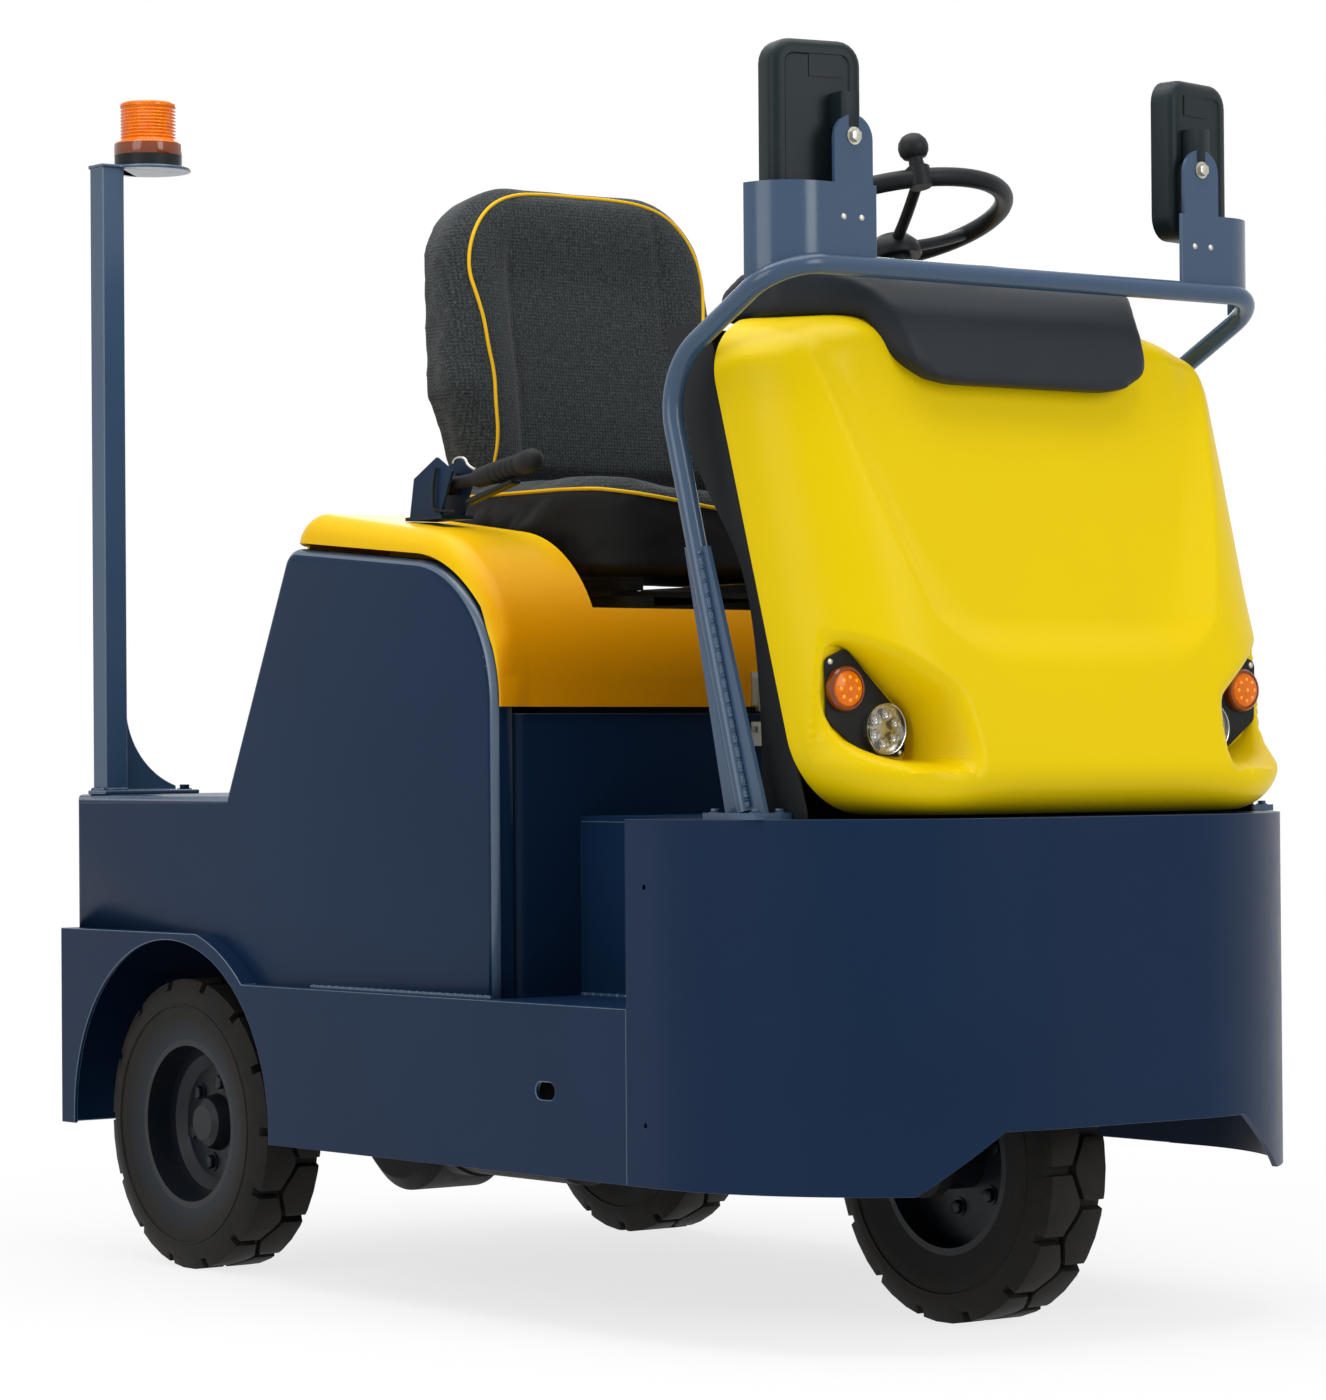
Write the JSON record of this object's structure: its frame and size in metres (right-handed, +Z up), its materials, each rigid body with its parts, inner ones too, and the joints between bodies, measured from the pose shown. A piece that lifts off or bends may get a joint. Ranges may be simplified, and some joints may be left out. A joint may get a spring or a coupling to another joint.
{
  "type": "airport baggage tug",
  "caption": "Compact sit-on electric tow tractor with a steered front wheel, boarding steps, hinged seat hood, tube guard with mirrors, beacon post and rear tow coupling.",
  "frame": {"origin": "on the ground under the middle of the tug's box", "axes": "+X forward along the tug, +Y to its left, +Z up"},
  "size_m": [1.828, 0.92, 1.667],
  "materials": {
    "navy_paint": "satin gloss navy paint on folded and welded steel plate",
    "yellow_shell": "smooth gelcoat yellow moulding",
    "black_moulding": "fine-grained dark moulding",
    "tyre_rubber": "dusty black solid rubber",
    "wheel_paint": "dark navy enamel on pressed rims",
    "seat_cloth": "flecked charcoal cloth with yellow piping",
    "bare_steel": "turned steel",
    "cast_black": "black painted casting",
    "zinc_plate": "zinc plated pressing",
    "amber_lens": "clear amber moulding",
    "clear_lens": "clear lens over a bright reflector",
    "mirror_face": "silvered glass",
    "battery_case": "moulded battery case"
  },
  "bodies": {
    "chassis": {"skirt_right": "navy_paint", "skirt_left": "navy_paint", "side_panel_right": "navy_paint", "side_panel_left": "navy_paint", "bumper": "navy_paint", "floor_plate": "navy_paint", "boarding_steps": "navy_paint", "rear_panel": "navy_paint", "rear_deck": "navy_paint", "front_panel": "navy_paint", "frame": "navy_paint", "steering_head": "navy_paint", "tow_coupling": "navy_paint", "guard_hoop": "navy_paint", "mirror_brackets": "navy_paint", "beacon_post": "navy_paint", "front_cowl": "yellow_shell", "inner_cowl": "black_moulding", "dash_pad": "black_moulding", "lamp_plates": "black_moulding", "steering_column": "black_moulding", "pedals": "black_moulding", "mirror_housings": "black_moulding", "beacon_base": "black_moulding", "rear_axle": "cast_black", "drive_motor": "cast_black", "latch_keeper": "zinc_plate", "beacon_lens": "amber_lens", "turn_lamps": "amber_lens", "head_lamps": "clear_lens", "mirror_glasses": "mirror_face", "battery": "battery_case"},
    "hood": {"hood": "yellow_shell", "hood_latch": "zinc_plate", "seat_slides": "black_moulding", "seat_cushion": "seat_cloth", "seat_back": "seat_cloth", "brake_bracket": "navy_paint", "brake_grip": "black_moulding"},
    "rear_wheel_right": {"rear_tyre_right": "tyre_rubber", "rear_rim_right": "wheel_paint"},
    "rear_wheel_left": {"rear_tyre_left": "tyre_rubber", "rear_rim_left": "wheel_paint"},
    "fork": {"steer_fork": "cast_black", "front_axle": "bare_steel"},
    "front_wheel": {"front_tyre": "tyre_rubber", "front_rim": "wheel_paint"},
    "hand_wheel": {"steering_wheel": "black_moulding"}
  },
  "joints": [
    {"name": "hood_hinge", "type": "hinge", "parent": "chassis", "child": "hood", "pos_m": [-0.344, 0, 0.888], "axis": [0, -1, 0], "range_deg": [0, 60]},
    {"name": "rear_roll_right", "type": "hinge", "parent": "chassis", "child": "rear_wheel_right", "pos_m": [-0.549, -0.3825, 0.202], "axis": [0, 1, 0], "continuous": true},
    {"name": "rear_roll_left", "type": "hinge", "parent": "chassis", "child": "rear_wheel_left", "pos_m": [-0.549, 0.3825, 0.202], "axis": [0, 1, 0], "continuous": true},
    {"name": "steer", "type": "hinge", "parent": "chassis", "child": "fork", "pos_m": [0.613, 0, 0.5], "axis": [0, 0, 1], "range_deg": [-75, 75]},
    {"name": "front_roll", "type": "hinge", "parent": "fork", "child": "front_wheel", "pos_m": [0.613, 0, 0.202], "axis": [0, 1, 0], "continuous": true},
    {"name": "hand_wheel_turn", "type": "hinge", "parent": "chassis", "child": "hand_wheel", "pos_m": [0.47, 0, 1.396], "axis": [-0.2756, 0, 0.9613], "range_deg": [-450, 450]}
  ],
  "couplings": [
    {"joint": "hand_wheel_turn", "follows": "steer", "ratio": 6}
  ]
}
